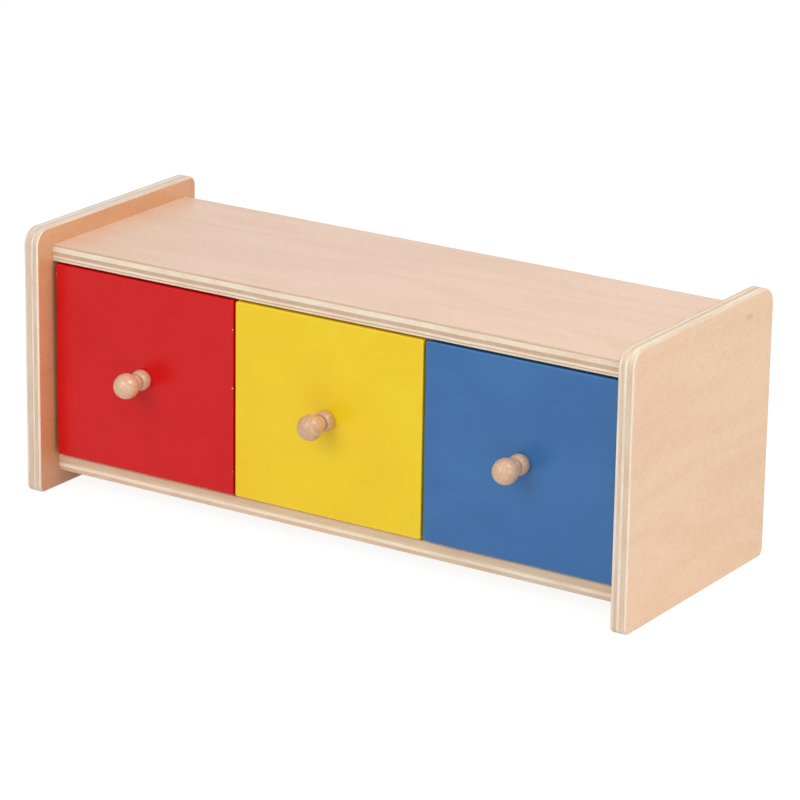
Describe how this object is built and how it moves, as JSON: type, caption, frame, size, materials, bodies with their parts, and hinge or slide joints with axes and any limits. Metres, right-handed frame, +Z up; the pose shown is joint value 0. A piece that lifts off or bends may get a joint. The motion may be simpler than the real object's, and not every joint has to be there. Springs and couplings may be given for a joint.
{
  "type": "wooden box with tilt-out bins",
  "caption": "Low plywood toy box between two end panels; square painted fronts with turned knobs tilt forward on hidden pins and open the bins behind them.",
  "frame": {"origin": "middle of the whole toy's footprint, knobs included, on the surface that it stands on", "axes": "+X along the box from the red bin to the blue one, +Y to its back, +Z up"},
  "size_m": [0.368, 0.1506, 0.145],
  "materials": {
    "case_plywood": "clear satin lacquer on birch plywood, ply edges showing",
    "bin_plywood": "sanded thin birch plywood",
    "red_paint": "red satin paint on thin plywood",
    "yellow_paint": "yellow satin paint on thin plywood",
    "blue_paint": "blue satin paint on thin plywood",
    "knob_beech": "turned and clear lacquered",
    "dowel_beech": "plain, glued in",
    "spacer_beech": "plain",
    "pin_steel": "bright drawn",
    "screw_steel": "zinc plated"
  },
  "bodies": {
    "case": {"left_end_panel": "case_plywood", "right_end_panel": "case_plywood", "top_board": "case_plywood", "bottom_board": "case_plywood", "back_panel": "case_plywood", "left_divider": "case_plywood", "right_divider": "case_plywood", "left_end_pin": "pin_steel", "right_end_pin": "pin_steel", "left_divider_pin": "pin_steel", "right_divider_pin": "pin_steel", "left_end_spacer": "spacer_beech", "right_end_spacer": "spacer_beech", "top_left_front_dowel": "dowel_beech", "top_left_rear_dowel": "dowel_beech", "top_right_front_dowel": "dowel_beech", "top_right_rear_dowel": "dowel_beech", "bottom_left_front_dowel": "dowel_beech", "bottom_left_rear_dowel": "dowel_beech", "bottom_right_front_dowel": "dowel_beech", "bottom_right_rear_dowel": "dowel_beech"},
    "red_bin": {"red_front": "red_paint", "red_bin_left_side": "bin_plywood", "red_bin_right_side": "bin_plywood", "red_bin_floor": "bin_plywood", "red_bin_back": "bin_plywood", "red_knob": "knob_beech", "red_knob_screw": "screw_steel"},
    "yellow_bin": {"yellow_front": "yellow_paint", "yellow_bin_left_side": "bin_plywood", "yellow_bin_right_side": "bin_plywood", "yellow_bin_floor": "bin_plywood", "yellow_bin_back": "bin_plywood", "yellow_knob": "knob_beech", "yellow_knob_screw": "screw_steel"},
    "blue_bin": {"blue_front": "blue_paint", "blue_bin_left_side": "bin_plywood", "blue_bin_right_side": "bin_plywood", "blue_bin_floor": "bin_plywood", "blue_bin_back": "bin_plywood", "blue_knob": "knob_beech", "blue_knob_screw": "screw_steel"}
  },
  "joints": [
    {"name": "red_bin_tilt", "type": "hinge", "parent": "case", "child": "red_bin", "pos_m": [-0.11547, -0.04398, 0.04574], "axis": [1, 0, 0], "range_deg": [0, 44]},
    {"name": "yellow_bin_tilt", "type": "hinge", "parent": "case", "child": "yellow_bin", "pos_m": [0, -0.04398, 0.04574], "axis": [1, 0, 0], "range_deg": [0, 44]},
    {"name": "blue_bin_tilt", "type": "hinge", "parent": "case", "child": "blue_bin", "pos_m": [0.11547, -0.04398, 0.04574], "axis": [1, 0, 0], "range_deg": [0, 44]}
  ]
}
